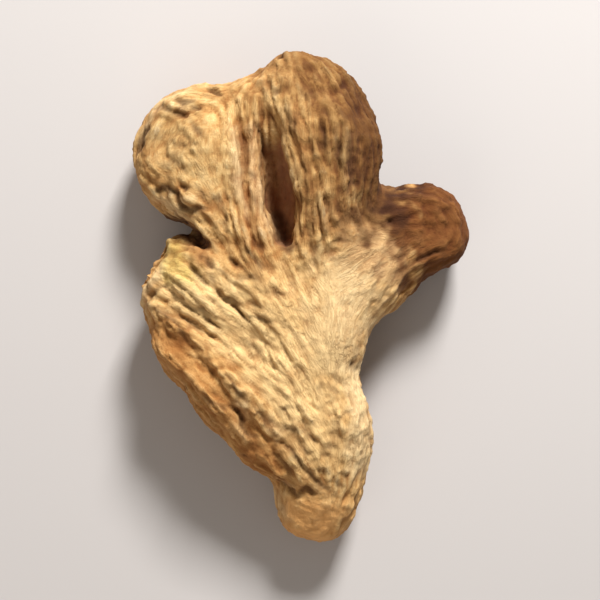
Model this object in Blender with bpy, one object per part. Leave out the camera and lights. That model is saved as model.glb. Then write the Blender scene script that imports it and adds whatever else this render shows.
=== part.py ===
"""A dried ginger root: one grown rhizome, about 64 mm long, that lies flat on a surface.

A flattened palm carries three stubby fingers at its upper end, a shoulder on the left and a
finger that tapers downwards. Fissures open between the fingers, and the skin has shrunk into
wrinkles that run along the grain. +X is right, +Y is towards the upper fingers and +Z up.
"""

import math

import bmesh
import bpy
import numpy as np
from mathutils import Quaternion, Vector, noise
from mathutils.geometry import intersect_point_tri
from mathutils.kdtree import KDTree

MM = 0.001

# Each limb is a row of stations along its middle, from the palm to the tip, in millimetres:
# x, y, z, half of the width in the plane of the root, half of the thickness.
LIMBS = {
    "palm": [(-8, -1, 10.2, 7.0, 6.2), (0, 1, 10.6, 8.5, 6.4), (6, 4, 10.2, 7.0, 6.0)],
    "upper_left": [
        (-1, 1, 10.6, 7.5, 6.4),
        (-7, 11, 10.6, 7.4, 6.4),
        (-11.8, 18.4, 9.6, 8.8, 6.8),
        (-13.8, 21.4, 9.0, 8.0, 6.0),
    ],
    "upper_middle": [
        (1.5, 3, 10.6, 7.5, 6.6),
        (2.6, 13, 12.2, 7.2, 6.6),
        (2.6, 20, 12.8, 8.2, 6.4),
        (-0.6, 25.6, 12.0, 7.2, 5.8),
    ],
    "upper_bridge": [(-10, 22, 10.0, 4.6, 4.6), (-4.5, 25.2, 11.6, 4.8, 4.8)],
    "right_arm": [
        (2, 2, 10.2, 8.5, 6.6),
        (9, 6.4, 9.4, 8.2, 6.2),
        (15, 9.0, 8.6, 6.4, 5.8),
        (18.2, 9.2, 8.0, 5.6, 5.2),
    ],
    "shoulder": [
        (-2, 2, 10.6, 7.0, 6.4),
        (-9, 2.4, 10.4, 6.8, 6.4),
        (-15.6, 1.8, 9.8, 5.8, 5.6),
    ],
    "torn_corner": [
        (-13.0, 3.0, 11.2, 3.2, 3.6),
        (-15.4, 5.6, 11.4, 2.6, 3.4),
        (-16.4, 7.0, 11.4, 1.7, 2.6),
    ],
    "flank": [
        (-15.2, -0.5, 10.4, 5.2, 5.2),
        (-10.5, -7.0, 10.6, 6.6, 5.8),
        (-4.5, -14.5, 10.0, 6.2, 5.6),
        (0.4, -20.6, 8.8, 5.0, 5.0),
    ],
    "lower_finger": [
        (1, 0, 10.4, 9.2, 6.4),
        (0.8, -9, 9.8, 7.2, 6.4),
        (2.4, -17, 9.2, 6.8, 6.0),
        (2.8, -24, 7.8, 5.6, 5.4),
        (2.4, -28.0, 6.8, 4.8, 4.6),
    ],
}
TIP_BLUNTNESS = 0.75  # length of a rounded tip as a share of the limb's half width
SECTION_POWER = 2.4  # 2 is an ellipse, more is squarer
RING_POINTS = 28
SPAN_STEPS = 6

# Fissures are thin lens-shaped cuts, given by stations of the same kind.
FISSURES = {
    "between_upper_fingers": [
        (-4.4, 26.0, 17.6, 0.4, 1.0),
        (-3.4, 20.0, 17.4, 1.4, 3.2),
        (-2.6, 13.6, 17.0, 2.0, 5.6),
        (-1.9, 9.8, 16.8, 1.9, 6.2),
        (-1.6, 7.6, 16.8, 1.5, 5.8),
    ],
    "under_upper_left": [
        (-23.0, 10.8, 9.5, 1.0, 7.0),
        (-19.0, 10.0, 10.0, 0.9, 6.2),
        (-15.6, 9.6, 12.2, 0.8, 5.0),
        (-13.2, 8.4, 14.4, 0.8, 3.6),
        (-11.2, 6.8, 16.2, 0.5, 1.6),
    ],
    "under_palm": [
        (-6.0, 14.0, 3.4, 0.5, 1.0),
        (-2.0, 7.0, 3.0, 1.1, 2.6),
        (3.0, 2.0, 3.6, 0.9, 2.2),
        (8.0, 0.0, 4.4, 0.5, 1.0),
    ],
}

# Lines of the grain on the upper side, in plan, in millimetres. Elsewhere the grain follows
# the limbs.
GRAIN_LINES = [
    [(-20, 20), (-16.5, 24.6), (-12, 26.4), (-9, 24), (-8, 18), (-7, 12), (-4.6, 6)],
    [(-20, 18.6), (-14, 19), (-10.4, 15.5), (-7.6, 10), (-3.4, 4)],
    [(-20, 17), (-15, 13.6), (-10.5, 10.5), (-6, 5.5), (-1, 0)],
    [(-5.6, 29), (-6.2, 22), (-5.8, 15), (-4.6, 9), (-2, 3), (2, -3)],
    [(-3.4, 31), (-1.5, 24), (-0.6, 16), (0.4, 9), (2.6, 3)],
    [(3.6, 28), (5.6, 22), (6.2, 15), (6.6, 10.5), (9.6, 8)],
    [(5, 6), (11, 8.5), (16, 9.6), (21, 9.6)],
    [(5, 0), (9.5, 2), (14, 4.8), (20, 6)],
    [(-13.5, 5), (-7, 0), (-1, -6), (4, -14), (6.5, -20)],
    [(-19, 0.5), (-12, -3.5), (-5, -9.5), (1, -16), (4.5, -22)],
    [(-18, -4), (-12, -10.5), (-6, -16.5), (-1.5, -21.5)],
    [(6, -2), (6.8, -9), (7.2, -16), (6, -24)],
]

# Ridges and furrows with a place of their own on the upper side, in millimetres: height (a
# furrow's is negative), half width, and the line it follows in plan.
FOLDS = {
    "lobe_rim": (0.9, 1.0, [(-19.4, 14), (-18.6, 20), (-15.8, 24.4), (-12.4, 26.8), (-8.6, 27.0)]),
    "lobe_crease": (-0.6, 0.8, [(-16.8, 20.4), (-15.2, 23.0), (-12.4, 24.6)]),
    "lobe_bump": (0.8, 1.4, [(-14.2, 13.2), (-12.6, 12.6)]),
    "outer_cord": (0.9, 0.8, [(-8.8, 23.6), (-8.0, 18), (-7.2, 11), (-5.4, 5), (-3.2, 1)]),
    "cord_groove": (-0.6, 0.7, [(-7.0, 23.6), (-6.4, 18), (-5.9, 11), (-4.4, 5.6)]),
    "lip_cord": (0.9, 0.8, [(-5.6, 22.6), (-5.3, 16), (-4.9, 11), (-3.9, 6.4), (-2, 2.4)]),
    "crevice_slope": (-0.9, 1.5, [(-1.6, 24), (-1.0, 18), (-0.4, 12), (0.2, 8)]),
    "middle_cord": (0.7, 0.8, [(5.6, 24), (6.6, 19), (6.4, 14), (4.8, 9.6)]),
    "right_cord": (0.7, 0.8, [(9.6, 22.4), (10.0, 16), (9.4, 11)]),
    "flank_edge": (0.9, 0.9, [(-18.6, -0.6), (-14, -4.4), (-9.6, -8.2), (-4.0, -15.2), (0.5, -21)]),
    "flank_step": (-0.8, 0.8, [(-18.4, -2.4), (-13.4, -6.6), (-9.6, -10.8), (-5.4, -16.4)]),
    "flank_ledge": (0.8, 0.9, [(-18, -4.6), (-14, -8.6), (-10.2, -12.6), (-6.8, -18)]),
    "shoulder_furrow": (-0.9, 0.7, [(-13.4, 5.0), (-10.2, 1.2), (-6.2, -2.4)]),
    "shoulder_ridge": (0.7, 0.8, [(-15.6, 3.2), (-11.6, -0.4), (-7.4, -4.2)]),
    "tip_crease": (-0.8, 0.7, [(-4.4, -22.8), (-2.6, -23.8), (0, -24.8), (2.6, -24.4)]),
    "palm_ridge": (0.8, 3.0, [(8, 8), (7.0, 2), (5.6, -5), (6.6, -13), (6.4, -19)]),
}

GRAIN_REACH = 2.4 * MM
LIMB_GRAIN_SHARE = 0.12
LIMB_GRAIN_REACH = 0.9  # in half widths of the limb

BODY_VOXEL = 0.60 * MM
SKIN_VOXEL = 0.45 * MM
BLEND_STEPS = 22
SOFTEN_STEPS = 8

WRINKLE_SPACING = 2.1 * MM
SPACING_VARIES = 0.25
WRINKLE_DEPTH = 0.24 * MM
DEPTH_VARIES = 0.8
UNDERSIDE = 0.6  # share of the wrinkle depth there
INSIDE_FISSURE = 0.35
FISSURE_LIP = 1.8 * MM
HOLLOW_DEPTH = 0.6 * MM
PATCHES_PER_METRE = 160  # how fast spacing and depth vary over the skin
NOISE_TO_ONE = 1.6  # the noise swings by about 0.6
NEAR_REACH = 0.21  # reach of the growth across and along the grain, in shares of the spacing
FAR_REACH = 0.43
WRINKLE_LENGTH = 1.3
WRINKLE_ROUNDS = 5
WRINKLE_GAIN = 5.0
NEIGHBOURS = 48
SEED = 7

# Patches where the skin stayed smoother, in plan: x, y, radius, share of the wrinkles left.
SMOOTH_PATCHES = {
    "palm": (5.5, -1.5, 7.5, 0.15),
    "lobe": (-13.5, 19.0, 7.5, 0.3),
    "arm": (17.0, 9.4, 9.0, 0.5),
    "lower_tip": (2.2, -29.0, 6.5, 0.2),
}

# Ring scars where leaf bases sat: limb, distance from its tip station, depth.
RING_SCARS = [
    ("lower_finger", 4.2, 0.15),
    ("right_arm", -0.6, 0.25),
    ("right_arm", 2.2, 0.35),
    ("right_arm", 5.0, 0.3),
    ("upper_middle", 3.0, 0.2),
]
RING_WIDTH = 0.7 * MM
RING_RADIUS = 7.5 * MM

FOOT_CUT = 0.35 * MM
FOOT_SNAP = 0.03 * MM  # points this close to the cut are moved onto it, so that it leaves no slivers
TRIANGLES = 11100

SKIN_COLOUR = (0.56, 0.36, 0.17, 1.0)


def smooth_stations(stations):
    """Stations along a Catmull-Rom curve through the given ones, in metres."""
    knots = np.array(stations, float) * MM
    knots = np.vstack([2 * knots[0] - knots[1], knots, 2 * knots[-1] - knots[-2]])
    rows = []
    for i in range(1, len(knots) - 2):
        before, start, end, after = knots[i - 1 : i + 3]
        for t in np.linspace(0, 1, SPAN_STEPS, endpoint=i == len(knots) - 3):
            rows.append(
                start
                + 0.5 * t * (end - before)
                + t * t * (before - 2.5 * start + 2 * end - 0.5 * after)
                + t**3 * (1.5 * (start - end) + 0.5 * (after - before))
            )
    return np.array(rows)


def with_tips(rows):
    """The same rows with a rounded tip added at both ends."""
    angles = np.radians([25, 48, 66, 80])

    def tip(end, inner):
        outwards = end[:3] - inner[:3]
        outwards /= np.linalg.norm(outwards)
        reach = TIP_BLUNTNESS * min(end[3], end[4] * 1.5)
        centres = end[:3] + reach * np.sin(angles)[:, None] * outwards
        return np.hstack([centres, np.cos(angles)[:, None] * end[3:]])

    return np.vstack([tip(rows[0], rows[1])[::-1], rows, tip(rows[-1], rows[-2])])


def add_limb(bm, stations):
    """Adds one closed, round-ended limb to bm: rings round the middle line, bridged and capped."""
    rows = with_tips(smooth_stations(stations))
    turn = np.linspace(0, 2 * math.pi, RING_POINTS, endpoint=False)
    bulge = 2 / SECTION_POWER
    wide = np.sign(np.cos(turn)) * np.abs(np.cos(turn)) ** bulge
    thick = np.sign(np.sin(turn)) * np.abs(np.sin(turn)) ** bulge
    tangents = np.gradient(rows[:, :3], axis=0)
    rings = []
    for row, tangent in zip(rows, tangents):
        ahead = Vector(tangent).normalized()
        side = Vector((0, 0, 1)).cross(ahead).normalized()
        up = ahead.cross(side)
        centre = Vector(row[:3])
        rings.append(
            [
                bm.verts.new(centre + side * (row[3] * a) + up * (row[4] * b))
                for a, b in zip(wide, thick)
            ]
        )
    for ring, following in zip(rings, rings[1:]):
        for i in range(RING_POINTS):
            j = (i + 1) % RING_POINTS
            bm.faces.new((ring[i], ring[j], following[j], following[i]))
    bm.faces.new(rings[0][::-1])
    bm.faces.new(rings[-1])


def limbs_object(name, limbs):
    """One object that holds every limb in the dictionary, each a closed shell."""
    bm = bmesh.new()
    for stations in limbs.values():
        add_limb(bm, stations)
    bmesh.ops.recalc_face_normals(bm, faces=bm.faces)
    mesh = bpy.data.meshes.new(name)
    bm.to_mesh(mesh)
    bm.free()
    made = bpy.data.objects.new(name, mesh)
    bpy.context.scene.collection.objects.link(made)
    return made


def fuse(obj, voxel, smoothing):
    """Voxel remesh, which joins shells that overlap, then smoothing, which blends where they meet."""
    remesh = obj.modifiers.new("fuse", "REMESH")
    remesh.mode = "VOXEL"
    remesh.voxel_size = voxel
    smooth = obj.modifiers.new("blend", "SMOOTH")
    smooth.factor = 0.5
    smooth.iterations = smoothing


def apply_modifiers(obj):
    """Replaces the object's mesh by what its modifiers make of it."""
    graph = bpy.context.evaluated_depsgraph_get()
    old = obj.data
    obj.data = bpy.data.meshes.new_from_object(obj.evaluated_get(graph))
    obj.modifiers.clear()
    bpy.data.meshes.remove(old)


def grown_body():
    """The limbs fused into one body, with the fissures cut and their lips rounded."""
    root = limbs_object("dried_ginger_root", LIMBS)
    fuse(root, BODY_VOXEL, BLEND_STEPS)
    cutter = limbs_object("fissure_cutter", FISSURES)
    cutter.hide_render = True
    cutter.display_type = "WIRE"
    cut = root.modifiers.new("fissures", "BOOLEAN")
    cut.operation = "DIFFERENCE"
    cut.object = cutter
    fuse(root, SKIN_VOXEL, SOFTEN_STEPS)
    apply_modifiers(root)
    bpy.data.objects.remove(cutter)
    return root


def surface_of(mesh):
    """The mesh's points and their normals as arrays."""
    points = np.empty(len(mesh.vertices) * 3, np.float32)
    normals = np.empty(len(mesh.vertices) * 3, np.float32)
    mesh.vertices.foreach_get("co", points)
    mesh.vertices.foreach_get("normal", normals)
    return points.reshape(-1, 3).astype(float), normals.reshape(-1, 3).astype(float)


def ease(value, low, high):
    """0 below low, 1 above high and a smooth step between."""
    t = np.clip((value - low) / (high - low), 0, 1)
    return t * t * (3 - 2 * t)


def added_direction(tensor, weight, direction):
    """Adds weight times the outer product of the direction with itself to each point's tensor."""
    return tensor + weight[:, None, None] * np.outer(direction, direction)


def grain_of(points, normals):
    """The unit direction of the grain at each point, in the surface."""
    tensor = np.zeros((len(points), 3, 3))
    upper = ease(normals[:, 2], 0.0, 0.5)
    for line in GRAIN_LINES:
        flat = [(x, y, 0, 0, 0) for x, y in line]
        curve = smooth_stations(flat)[:, :2]
        for spot, ahead in zip(curve, np.gradient(curve, axis=0)):
            gap = np.linalg.norm(points[:, :2] - spot, axis=1)
            direction = np.append(ahead / np.linalg.norm(ahead), 0)
            weight = upper * np.exp(-((gap / GRAIN_REACH) ** 2))
            tensor = added_direction(tensor, weight, direction)
    for stations in LIMBS.values():
        curve = smooth_stations(stations)
        for spot, ahead in zip(curve, np.gradient(curve[:, :3], axis=0)):
            gap = np.linalg.norm(points - spot[:3], axis=1) / spot[3]
            direction = ahead / np.linalg.norm(ahead)
            weight = LIMB_GRAIN_SHARE * np.exp(-((gap / LIMB_GRAIN_REACH) ** 4))
            tensor = added_direction(tensor, weight, direction)
    in_surface = np.eye(3) - normals[:, :, None] * normals[:, None, :]
    tensor = in_surface @ tensor @ in_surface
    return np.linalg.eigh(tensor)[1][:, :, -1]


def patchy(points, offset):
    """Slow noise over the skin, between about -1 and 1."""
    swings = [noise.noise(Vector(p) * PATCHES_PER_METRE + offset) for p in points]
    return np.array(swings) * NOISE_TO_ONE


def growth_kernel(points, normals, grain, spacing):
    """Each point's neighbours and their pull: near ones push it the same way, far ones the other."""
    tree = KDTree(len(points))
    for i, point in enumerate(points):
        tree.insert(point, i)
    tree.balance()
    near_by = np.array([[i for _, i, _ in tree.find_n(p, NEIGHBOURS)] for p in points])
    offset = points[near_by] - points[:, None]
    along = np.einsum("nkj,nj->nk", offset, grain) / spacing[:, None] / WRINKLE_LENGTH
    across = np.einsum("nkj,nj->nk", offset, np.cross(normals, grain)) / spacing[:, None]
    facing = np.clip(np.einsum("nkj,nj->nk", normals[near_by], normals), 0, 1)
    near = facing * np.exp(-((across / NEAR_REACH) ** 2) - along**2)
    far = facing * np.exp(-((across / FAR_REACH) ** 2) - along**2)
    pull = near / near.sum(1, keepdims=True) - far / far.sum(1, keepdims=True)
    return near_by, pull


def grown_wrinkles(points, normals, grain):
    """Heights from -1 to 1: seeded noise that the skin's shrinking sorts into wrinkles."""
    spacing = WRINKLE_SPACING * (1 + SPACING_VARIES * patchy(points, Vector((3, 0, 0))))
    near_by, pull = growth_kernel(points, normals, grain, spacing)
    height = np.random.default_rng(SEED).uniform(-0.5, 0.5, len(points))
    for _ in range(WRINKLE_ROUNDS):
        height = np.tanh(WRINKLE_GAIN * (pull * height[near_by]).sum(1))
    return height


def wrinkle_share(points, normals):
    """How much of the full wrinkle depth each point takes."""
    share = 1 + DEPTH_VARIES * patchy(points, Vector((0, 5, 0)))
    for x, y, radius, left in SMOOTH_PATCHES.values():
        gap = np.linalg.norm(points[:, :2] - np.array([x, y]) * MM, axis=1)
        share *= left + (1 - left) * ease(gap, 0.4 * radius * MM, radius * MM)
    for stations in FISSURES.values():
        closest = np.ones(len(points))
        for spot in smooth_stations(stations):
            aside = np.linalg.norm(points[:, :2] - spot[:2], axis=1) / FISSURE_LIP
            height = np.abs(points[:, 2] - spot[2]) / (spot[4] + FISSURE_LIP)
            closest = np.minimum(closest, np.maximum(aside, height))
        share *= INSIDE_FISSURE + (1 - INSIDE_FISSURE) * ease(closest, 0.4, 1.0)
    share *= UNDERSIDE + (1 - UNDERSIDE) * ease(normals[:, 2], -0.9, -0.2)
    return np.clip(share, 0, 1.5)


def ring_scars(points):
    """Shallow grooves across the limbs, as depths in metres."""
    depth = np.zeros(len(points))
    for name, from_tip, deep in RING_SCARS:
        end, inner = (np.array(s[:3]) * MM for s in LIMBS[name][:-3:-1])
        ahead = (end - inner) / np.linalg.norm(end - inner)
        reach = (points - end) @ ahead + from_tip * MM
        aside = np.linalg.norm(points - end - np.outer((points - end) @ ahead, ahead), axis=1)
        near = 1 - ease(aside, RING_RADIUS, 1.3 * RING_RADIUS)
        depth += deep * MM * near * np.exp(-((reach / RING_WIDTH) ** 2))
    return depth


def folds(points, normals):
    """Heights in metres of the ridges and furrows that have a place of their own."""
    total = np.zeros(len(points))
    for height, width, line in FOLDS.values():
        curve = smooth_stations([(x, y, 0, 0, 0) for x, y in line])[:, :2]
        fade = np.sin(np.linspace(0.12, math.pi - 0.12, len(curve))) ** 0.5
        shape = np.zeros(len(points))
        for spot, share in zip(curve, fade):
            gap = np.linalg.norm(points[:, :2] - spot, axis=1) / (width * MM)
            shape = np.maximum(shape, share * np.exp(-(gap**2)))
        total += height * MM * shape
    return total * ease(normals[:, 2], -0.2, 0.3)


def wrinkle(root):
    points, normals = surface_of(root.data)
    grain = grain_of(points, normals)
    height = grown_wrinkles(points, normals, grain)
    move = WRINKLE_DEPTH * wrinkle_share(points, normals) * height - ring_scars(points)
    move += HOLLOW_DEPTH * patchy(points, Vector((0, 0, 7))) + folds(points, normals)
    points += normals * move[:, None]
    root.data.vertices.foreach_set("co", points.astype(np.float32).ravel())
    root.data.update()


def thin_out(root):
    """Collapses faces until the body has the wanted number of triangles."""
    reduce = root.modifiers.new("fewer", "DECIMATE")
    reduce.ratio = TRIANGLES / (2 * len(root.data.polygons))
    apply_modifiers(root)


def resting_turn(bm):
    """The rotation that lays the body on the side of its convex hull that is under its weight."""
    areas = [f.calc_area() for f in bm.faces]
    weight = sum((f.calc_center_median() * a for f, a in zip(bm.faces, areas)), Vector())
    weight /= sum(areas)
    hull = bm.copy()
    wrapped = bmesh.ops.convex_hull(hull, input=hull.verts, use_existing_faces=False)
    turn = Quaternion()
    for side in wrapped["geom"]:
        if isinstance(side, bmesh.types.BMFace) and side.normal.z < -0.9:
            corners = [v.co for v in side.verts]
            under = weight - side.normal * (weight - corners[0]).dot(side.normal)
            if intersect_point_tri(under, *corners):
                turn = side.normal.rotation_difference(Vector((0, 0, -1)))
    hull.free()
    return turn


def lay_down(root):
    """Turns the root to lie as its weight lets it, with a flat spot worn at each low point."""
    bm = bmesh.new()
    bm.from_mesh(root.data)
    bmesh.ops.rotate(bm, verts=bm.verts, matrix=resting_turn(bm).to_matrix())
    level = min(v.co.z for v in bm.verts) + FOOT_CUT
    for v in bm.verts:
        if abs(v.co.z - level) < FOOT_SNAP:
            v.co.z = level
    cut = bmesh.ops.bisect_plane(
        bm,
        geom=bm.verts[:] + bm.edges[:] + bm.faces[:],
        dist=0.001 * MM,
        plane_co=(0, 0, level),
        plane_no=(0, 0, -1),
        clear_outer=True,
    )
    rims = [e for e in cut["geom_cut"] if isinstance(e, bmesh.types.BMEdge)]
    bmesh.ops.holes_fill(bm, edges=rims)
    bmesh.ops.recalc_face_normals(bm, faces=bm.faces)
    places = np.array([v.co for v in bm.verts])
    middle = (places.min(0) + places.max(0)) / 2
    bmesh.ops.translate(bm, verts=bm.verts, vec=(-middle[0], -middle[1], -places[:, 2].min()))
    bm.to_mesh(root.data)
    bm.free()


def finish(root):
    material = bpy.data.materials.new("dried_skin")
    material.use_nodes = True
    shader = material.node_tree.nodes["Principled BSDF"]
    shader.inputs["Base Color"].default_value = SKIN_COLOUR
    shader.inputs["Roughness"].default_value = 0.85
    root.data.materials.append(material)
    root.data.shade_smooth()


for leftover in list(bpy.data.objects):
    bpy.data.objects.remove(leftover)
root = grown_body()
wrinkle(root)
thin_out(root)
lay_down(root)
finish(root)
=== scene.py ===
# %% [markdown]
# # A dried ginger root on a pale table
# The root is one rhizome: a flat palm with stubby fingers. When it dried, its inside shrank more
# than its skin, so the skin folded into wrinkles that run along the fingers. Most of its look comes
# from that relief, and from the colour that goes with it: furrows keep brown cork and dirt and are
# darkened further with painted shade, and ridges are rubbed pale and powdery. Steep sides, hollows,
# the lobe at the top and the arm get painted shade as well, and a few lit parts get painted light.
# The packed solid already has the body and its larger wrinkles. This script turns a copy of it into
# a dense mesh, grows the fine wrinkles on it, and paints it.

# %% Load the packed root
import math

import bpy
import numpy as np
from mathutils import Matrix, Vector, noise
from mathutils.kdtree import KDTree


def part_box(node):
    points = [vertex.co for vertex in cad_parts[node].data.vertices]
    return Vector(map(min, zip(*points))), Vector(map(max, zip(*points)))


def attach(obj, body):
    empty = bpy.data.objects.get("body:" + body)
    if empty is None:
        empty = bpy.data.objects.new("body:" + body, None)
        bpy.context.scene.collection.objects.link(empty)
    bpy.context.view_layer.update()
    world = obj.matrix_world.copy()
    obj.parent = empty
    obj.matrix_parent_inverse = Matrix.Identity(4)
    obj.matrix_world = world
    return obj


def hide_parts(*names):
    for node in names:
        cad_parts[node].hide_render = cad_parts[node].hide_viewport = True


MM = 0.001

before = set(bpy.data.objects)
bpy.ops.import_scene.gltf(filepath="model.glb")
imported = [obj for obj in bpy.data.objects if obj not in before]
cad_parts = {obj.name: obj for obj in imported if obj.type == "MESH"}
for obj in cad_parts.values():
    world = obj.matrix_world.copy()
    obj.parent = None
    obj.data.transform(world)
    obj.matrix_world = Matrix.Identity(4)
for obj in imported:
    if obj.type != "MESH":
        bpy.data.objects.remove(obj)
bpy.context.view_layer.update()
low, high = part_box("dried_ginger_root")
print("root, in mm:", [round((b - a) / MM, 1) for a, b in zip(low, high)])

# %% [markdown]
# ## Camera
# The reference looks straight down on the table, so the camera does too, with the top of the
# picture towards +Y. A long lens from a fair distance keeps the fingers' proportions. The root's
# length fills about four fifths of the picture.

# %% Place the camera
LENS = 85  # mm
SENSOR = 36  # mm
FILLS = 0.82  # share of the picture that the longest side takes
NEAREST = 0.01  # metres from the camera at which things start to show

middle = (low + high) / 2
view_width = (high.y - low.y) / FILLS
distance = view_width / (SENSOR / LENS)

bpy.ops.object.camera_add(location=(middle.x, middle.y, middle.z + distance), rotation=(0, 0, 0))
camera = bpy.context.object
camera.data.lens = LENS
camera.data.clip_start = NEAREST
bpy.context.scene.camera = camera
print("camera height:", round(camera.location.z, 3))

# %% [markdown]
# ## Table and light
# Low light shows wrinkles: it fills one side of each and leaves the other dark. One large soft
# light comes from the top of the picture, a little to the right, as in the reference. A weak one
# from the opposite side and a pale surrounding keep the shadows open.

# %% Set the table and the lights
TABLE_WIDTH = 4.0
KEY = {"place": (0.10, 0.33, 0.25), "size": 0.10, "power": 3.4, "colour": (1.0, 0.96, 0.90)}
FILL = {"place": (-0.20, -0.34, 0.22), "size": 0.4, "power": 0.6, "colour": (1.0, 0.86, 0.72)}
AIR_COLOUR = (1.0, 0.91, 0.80, 1)
AIR_STRENGTH = 0.24


def soft_light(name, place, size, power, colour):
    """A square lamp that faces the middle of the root."""
    bpy.ops.object.light_add(type="AREA", location=place)
    lamp = bpy.context.object
    lamp.name = name
    lamp.data.size = size
    lamp.data.energy = power
    lamp.data.color = colour
    lamp.rotation_euler = (middle - Vector(place)).to_track_quat("-Z", "Y").to_euler()
    return lamp


bpy.ops.mesh.primitive_plane_add(size=TABLE_WIDTH, location=(0, 0, 0))
table = bpy.context.object
table.name = "table_top"
lamps = [soft_light("key_light", **KEY), soft_light("fill_light", **FILL)]
world = bpy.data.worlds.new("studio_air")
world.use_nodes = True
air = world.node_tree.nodes["Background"]
air.inputs["Color"].default_value = AIR_COLOUR
air.inputs["Strength"].default_value = AIR_STRENGTH
bpy.context.scene.world = world
bpy.context.scene.view_settings.view_transform = "Standard"
print("lamps, in watts:", {lamp.name: round(lamp.data.energy, 1) for lamp in lamps})

# %% [markdown]
# ## A dense copy of the body
# The solid has about 11,000 triangles, which is too coarse for wrinkles a millimetre apart. One way
# is to subdivide it, but its long thin triangles would stay long and thin. A voxel remesh gives
# small squares of one size all over instead, and wrinkles can then grow evenly in any direction.
# A few smoothing steps after it take away the facets.

# %% Copy, remesh and smooth
WELD = 0.001 * MM
VOXEL = 0.285 * MM
FACET_STEPS = 12
FACET_SHARE = 0.5

bpy.ops.object.select_all(action="DESELECT")
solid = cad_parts["dried_ginger_root"]
solid.select_set(True)
bpy.context.view_layer.objects.active = solid
bpy.ops.object.duplicate()
root = bpy.context.object
root.name = "ginger_rhizome"
bpy.ops.object.mode_set(mode="EDIT")
bpy.ops.mesh.select_all(action="SELECT")
bpy.ops.mesh.remove_doubles(threshold=WELD)
bpy.ops.object.mode_set(mode="OBJECT")
root.data.remesh_voxel_size = VOXEL
bpy.ops.object.voxel_remesh()
facets = root.modifiers.new("facets", "SMOOTH")
facets.factor = FACET_SHARE
facets.iterations = FACET_STEPS
bpy.ops.object.modifier_apply(modifier="facets")
bpy.ops.object.shade_smooth()
print("dense copy:", len(root.data.vertices), "points,", 2 * len(root.data.polygons), "triangles")

# %% [markdown]
# ## Points, normals and neighbours
# Everything that follows moves points along their normals by amounts that depend on their
# neighbours. Arrays make that fast: one row for each point, and for each point the numbers of its
# nearest ones, which a k-d tree finds.

# %% Read the mesh into arrays
NEIGHBOURS = 56
CLOSE = 8  # how many of them touch the point


def surface_of(mesh):
    """The mesh's points and normals as arrays."""
    points = np.empty(len(mesh.vertices) * 3, np.float32)
    normals = np.empty(len(mesh.vertices) * 3, np.float32)
    mesh.vertices.foreach_get("co", points)
    mesh.vertices.foreach_get("normal", normals)
    return points.reshape(-1, 3).astype(float), normals.reshape(-1, 3).astype(float)


def put_points(mesh, points):
    """Writes the points back into the mesh."""
    mesh.vertices.foreach_set("co", points.astype(np.float32).ravel())
    mesh.update()


points, normals = surface_of(root.data)
tree = KDTree(len(points))
for number, point in enumerate(points):
    tree.insert(point, number)
tree.balance()
near_by = np.array([[n for _, n, _ in tree.find_n(p, NEIGHBOURS)] for p in points])
reach = np.linalg.norm(points[near_by[:, -1]] - points, axis=1).mean()
print("neighbours reach", round(reach / MM, 2), "mm")

# %% [markdown]
# ## The head of the crevice
# Between the upper lobes the crevice is a dark gap at its lower end, and it runs out into a soft
# valley at its head. In the solid the head is a narrow cut. Averaging each point there with its
# neighbours, again and again, fills a narrow cut and leaves wide forms alone. The underside has no
# cut, so it stays as it is.

# %% Soften the head of the crevice
HEAD = [(-5.2, 28.0), (-4.6, 25.0), (-4.0, 22.0)]
HEAD_RADIUS = 3.4
HEAD_ROUNDS = 24


def averaged(values, rounds):
    """Each point's value, averaged with its neighbours' several times."""
    for _ in range(rounds):
        values = values[near_by].mean(1)
    return values


def ease(value, start, end):
    """0 before start, 1 after end and a smooth step between."""
    t = np.clip((value - start) / (end - start), 0, 1)
    return t * t * (3 - 2 * t)


def spots_along(line, gap):
    """Points every gap millimetres or closer along a line."""
    found = [np.array(line[0], float)]
    for start, end in zip(line, line[1:]):
        start, end = np.array(start, float), np.array(end, float)
        count = math.ceil(np.linalg.norm(end - start) / gap)
        found += [start + (end - start) * n / count for n in range(1, count + 1)]
    return np.array(found)


def gap_to(line, step):
    """How far each point is from a line in plan, in millimetres."""
    flat = points[:, :2] / MM
    gaps = [np.linalg.norm(flat - spot, axis=1) for spot in spots_along(line, step)]
    return np.min(gaps, axis=0)


head = 1 - ease(gap_to(HEAD, 1.0) / HEAD_RADIUS, 0.2, 1.0)
head *= ease(normals[:, 2], -0.6, 0.0)
filled = points + head[:, None] * (averaged(points, HEAD_ROUNDS) - points)
furthest = np.linalg.norm(filled - points, axis=1).max()
print("the head moved by", round(float(furthest / MM), 2), "mm")
put_points(root.data, filled)
points, normals = surface_of(root.data)

# %% [markdown]
# ## The way of the grain
# Fine wrinkles follow the large ones. Along a ridge the normals hardly turn, and across it they
# turn a lot, so the grain is the direction in which the normals near a point change least. Each
# point gathers the changes from its neighbours and shares them with the points round it, so that
# the direction is calm. The smallest eigenvector in the surface is the grain.

# %% Find the grain
CALM_ROUNDS = 5
SAME_WALL = 0.3  # neighbours that face less the same way are on another wall
NEVER = 100  # a change so large that the grain never points out of the surface


def grain_of(normals):
    """For each point the direction in the surface along which the normals change least."""
    turned = normals[near_by] - normals[:, None]
    facing = np.einsum("nkj,nj->nk", normals[near_by], normals) > SAME_WALL
    change = np.einsum("nk,nki,nkj->nij", facing / NEIGHBOURS, turned, turned)
    change = averaged(change.reshape(-1, 9), CALM_ROUNDS).reshape(-1, 3, 3)
    out = normals[:, :, None] * normals[:, None, :]
    in_surface = np.eye(3) - out
    change = in_surface @ change @ in_surface + NEVER * out
    return np.linalg.eigh(change)[1][:, :, 0]


grain = grain_of(normals)
print("grain found for", len(grain), "points")

# %% [markdown]
# ## Shrinking the skin
# Wrinkles of a dried skin aren't drawn one by one, and they aren't alike: they fork, end and change
# width. Here each point starts with a random height. Sharing it with the neighbours along the grain
# stretches the random spots into streaks, and taking away what is common over a wider area leaves
# ups and downs of about one width. A second, rounder set is for skin that is pebbled.

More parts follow.
